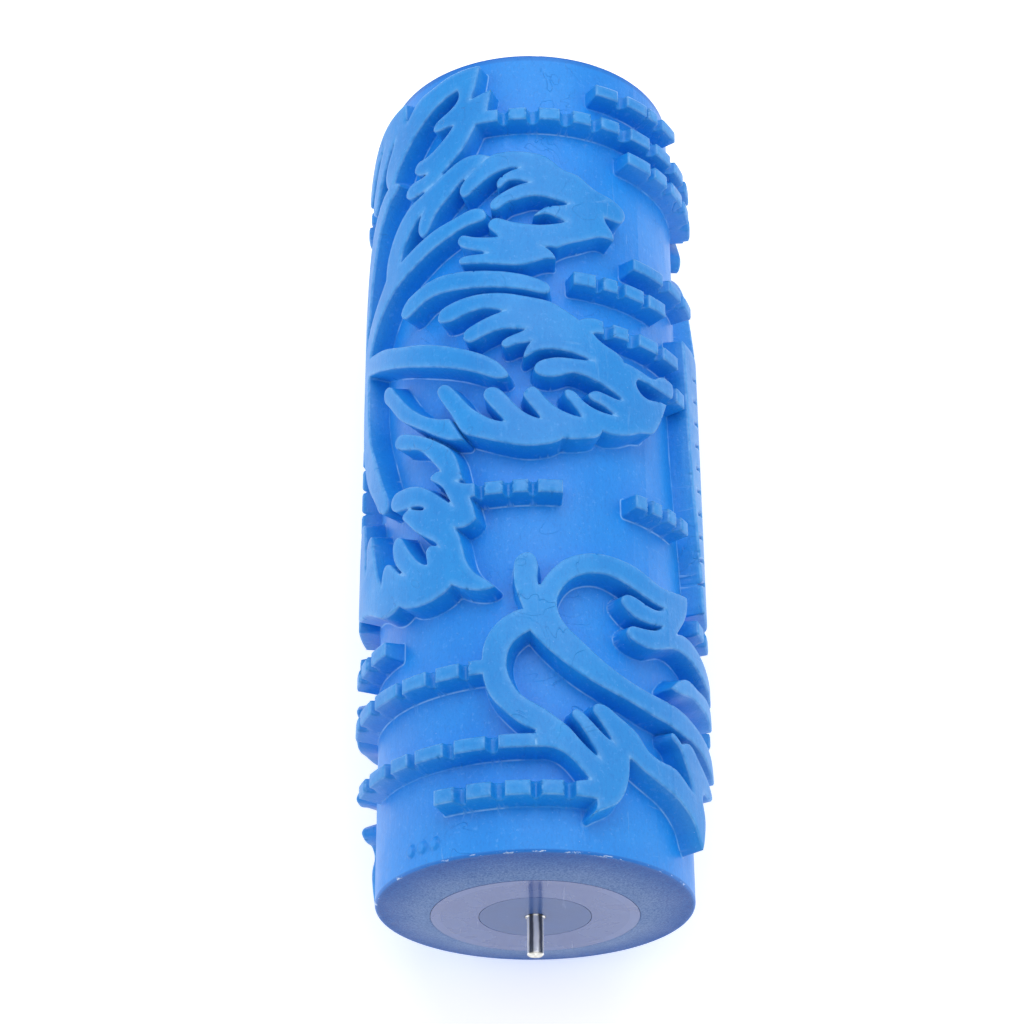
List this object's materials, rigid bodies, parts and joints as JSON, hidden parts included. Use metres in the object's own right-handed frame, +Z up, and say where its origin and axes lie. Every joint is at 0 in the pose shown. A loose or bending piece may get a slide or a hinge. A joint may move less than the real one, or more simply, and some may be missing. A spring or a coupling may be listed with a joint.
{
  "type": "textured pattern roller",
  "caption": "Drum with a rubber sleeve carrying raised palm-leaf relief, end plugs and hub bushes, turning on a steel axle with a thin pin at each end, for printing a pattern in paint.",
  "frame": {"origin": "centre of the axle, half way between the two end faces of the drum", "axes": "+Y along the axle from the near end to the far end, +Z up through the middle of the raised pattern"},
  "size_m": [0.0688, 0.195, 0.0688],
  "materials": {
    "blue_rubber": "satin",
    "tube_plastic": "satin",
    "plug_plastic": "gloss",
    "bush_plastic": "satin",
    "axle_steel": "ground",
    "washer_steel": "satin"
  },
  "bodies": {
    "axle": {"axle_rod": "axle_steel", "thrust_washer_far": "washer_steel", "thrust_washer_near": "washer_steel"},
    "drum": {"rubber_sleeve": "blue_rubber", "core_tube": "tube_plastic", "end_plug_far": "plug_plastic", "end_plug_near": "plug_plastic", "hub_bush_far": "bush_plastic", "hub_bush_near": "bush_plastic"}
  },
  "joints": [
    {"name": "drum_spin", "type": "hinge", "parent": "axle", "child": "drum", "pos_m": [0, 0, 0], "axis": [0, 1, 0], "continuous": true}
  ]
}
